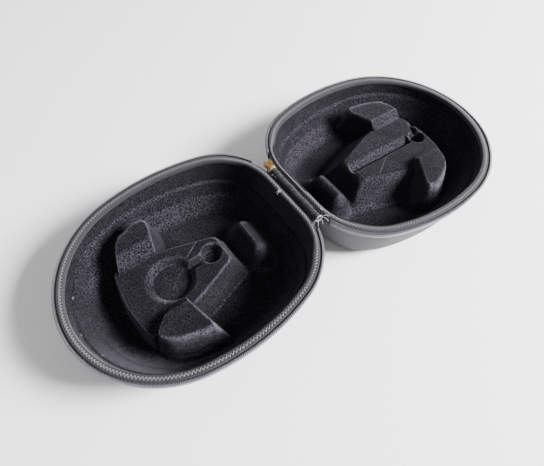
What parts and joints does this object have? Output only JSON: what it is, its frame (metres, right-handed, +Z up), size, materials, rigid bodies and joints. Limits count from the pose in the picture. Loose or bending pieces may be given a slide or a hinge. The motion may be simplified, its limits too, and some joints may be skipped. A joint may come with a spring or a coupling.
{
  "type": "headphone carrying case",
  "caption": "Hard oval carrying case for over-ear headphones, open flat, with two moulded bowls, cradles, a fabric spine and a zip.",
  "frame": {"origin": "centre of the footprint on the surface that the open case rests on, under the hinge line", "axes": "+X from the base towards the lid, +Y along the hinge line towards the zip's start, +Z up"},
  "size_m": [0.4134, 0.1814, 0.0607],
  "materials": {
    "cover_weave": "woven polyester bonded to the shell",
    "moulded_foam": "moulded foam",
    "velour": "short-nap velour over moulded foam",
    "binding_tape": "ribbed binding tape, stitched",
    "zip_tape": "woven zip tape",
    "zip_coil": "nylon coil",
    "edge_band": "smooth satin edge band",
    "hinge_fabric": "ribbed hinge fabric",
    "tack_thread": "dense tacking thread",
    "slider_metal": "antique brass, brushed",
    "pull_rubber": "ribbed soft moulding"
  },
  "bodies": {
    "base": {"base_cover": "cover_weave", "base_shell": "moulded_foam", "base_liner": "velour", "base_cradle": "velour", "base_binding": "binding_tape", "base_zip_tape": "zip_tape", "base_zip_coil": "zip_coil", "base_edge_band": "edge_band", "base_hinge_flap": "hinge_fabric"},
    "lid": {"lid_cover": "cover_weave", "lid_shell": "moulded_foam", "lid_liner": "velour", "lid_cradle": "velour", "lid_binding": "binding_tape", "lid_zip_tape": "zip_tape", "lid_zip_coil": "zip_coil", "lid_edge_band": "edge_band", "lid_hinge_flap": "hinge_fabric"},
    "spine": {"hinge_spine": "hinge_fabric", "spine_tack_near": "tack_thread", "spine_tack_far": "tack_thread"},
    "slider": {"slider_body": "slider_metal"},
    "pull": {"pull_tab": "slider_metal", "pull_grip": "pull_rubber"}
  },
  "joints": [
    {"name": "lid_hinge", "type": "hinge", "parent": "base", "child": "lid", "pos_m": [0, 0, 0.05739], "axis": [0, -1, 0], "range_deg": [0, 187.04]},
    {"name": "spine_roll", "type": "hinge", "parent": "base", "child": "spine", "pos_m": [0, 0, 0.05739], "axis": [0, -1, 0], "range_deg": [0, 93.52]},
    {"name": "slider_travel", "type": "slide", "parent": "base", "child": "slider", "axis": [0, 1, 0], "range_m": [0, 0.004]},
    {"name": "pull_swing", "type": "hinge", "parent": "slider", "child": "pull", "pos_m": [0, 0.033, 0.05439], "axis": [1, 0, 0], "range_deg": [-75, 75]}
  ],
  "couplings": [
    {"joint": "spine_roll", "follows": "lid_hinge", "ratio": 0.5}
  ]
}
